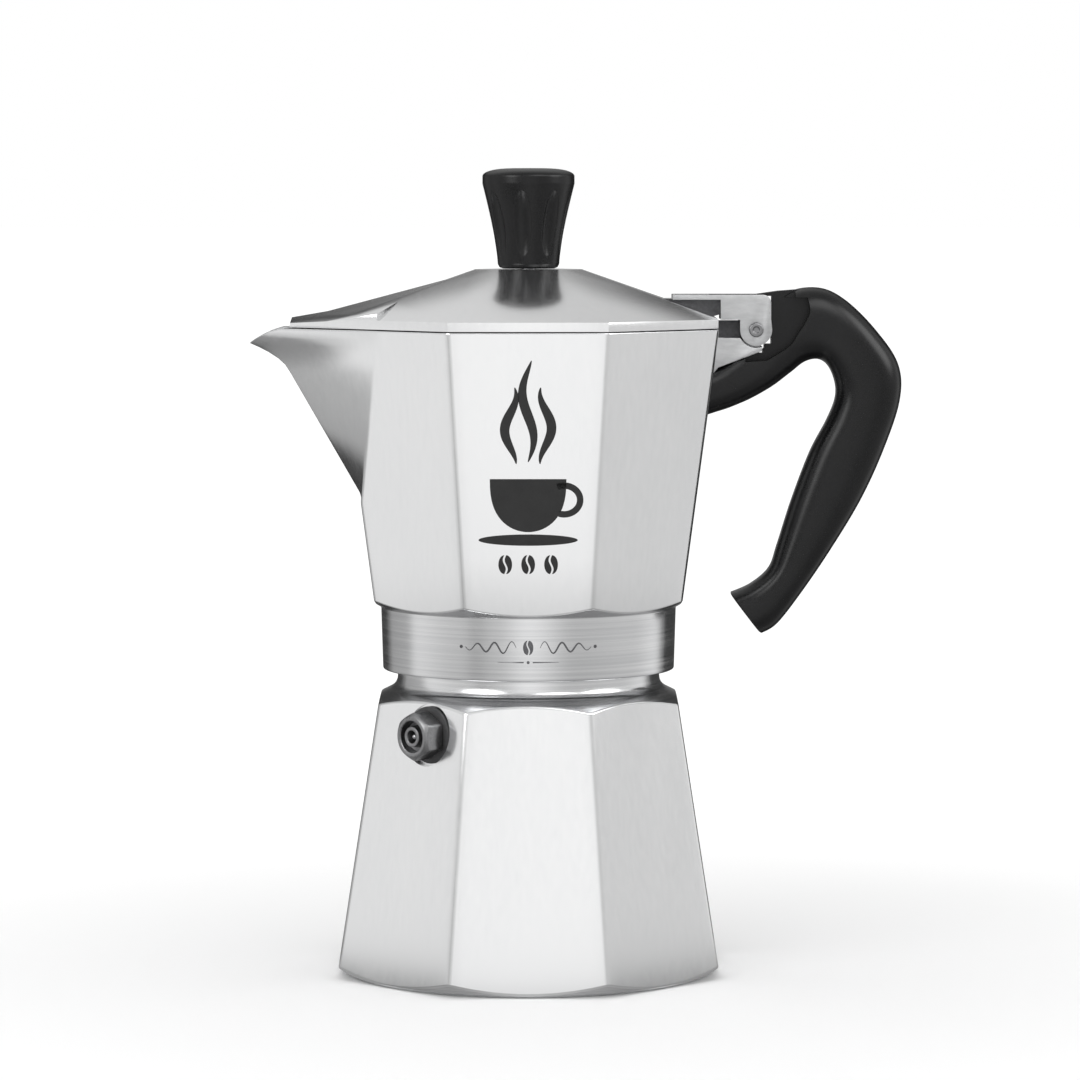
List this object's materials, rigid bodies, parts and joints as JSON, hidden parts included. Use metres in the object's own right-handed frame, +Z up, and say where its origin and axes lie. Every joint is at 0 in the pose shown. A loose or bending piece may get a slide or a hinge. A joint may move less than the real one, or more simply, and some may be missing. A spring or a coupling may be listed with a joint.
{
  "type": "moka pot",
  "caption": "Stove-top moka pot: faceted boiler screwed to a faceted upper chamber with spout, hinged lid, knob, handle and pressure valve.",
  "frame": {"origin": "centre of the flat underside of the boiler, on the pot's axis", "axes": "+Z up along the pot's axis; +X towards the handle and -X towards the spout; -Y is the pot's front"},
  "size_m": [0.1759, 0.1026, 0.217],
  "materials": {
    "cast_aluminium": "polished casting",
    "sheet_aluminium": "satin sheet",
    "steel": "bright",
    "brass": "machined",
    "black_plastic": "satin moulded",
    "gasket_rubber": "matt"
  },
  "bodies": {
    "boiler": {"boiler": "cast_aluminium", "valve_body": "steel", "valve_washer": "gasket_rubber", "valve_seat": "brass", "valve_spring": "steel"},
    "valve_piston": {"valve_piston": "brass"},
    "funnel": {"funnel": "sheet_aluminium", "funnel_disc": "sheet_aluminium"},
    "gasket": {"gasket": "gasket_rubber"},
    "filter_plate": {"filter_plate": "sheet_aluminium"},
    "upper_chamber": {"upper_chamber": "cast_aluminium", "handle": "black_plastic", "handle_screw": "steel", "hinge_pin": "steel"},
    "lid": {"lid": "cast_aluminium", "knob": "black_plastic", "knob_insert": "brass", "knob_washer": "steel", "knob_screw": "steel"}
  },
  "joints": [
    {"name": "valve_pin", "type": "slide", "parent": "boiler", "child": "valve_piston", "axis": [-0.7071, -0.7071, 0], "range_m": [0, 0.0015], "stiffness_N_per_m": 1500, "springref_m": -0.002, "deforming": ["valve_spring"]},
    {"name": "funnel_lift", "type": "slide", "parent": "boiler", "child": "funnel", "axis": [0, 0, 1], "range_m": [0, 0.1]},
    {"name": "top_lift", "type": "slide", "parent": "funnel", "child": "gasket", "axis": [0, 0, 1], "range_m": [0, 0.12]},
    {"name": "thread_rise", "type": "slide", "parent": "gasket", "child": "filter_plate", "axis": [0, 0, 1], "range_m": [0, 0.00901]},
    {"name": "unscrew", "type": "hinge", "parent": "filter_plate", "child": "upper_chamber", "pos_m": [0, 0, 0.0911], "axis": [0, 0, 1], "range_deg": [0, 1080]},
    {"name": "lid_hinge", "type": "hinge", "parent": "upper_chamber", "child": "lid", "pos_m": [0.0611, 0, 0.1737], "axis": [0, 1, 0], "range_deg": [0, 95]}
  ],
  "couplings": [
    {"joint": "thread_rise", "follows": "unscrew", "m_per_rad": 0.00047746}
  ]
}
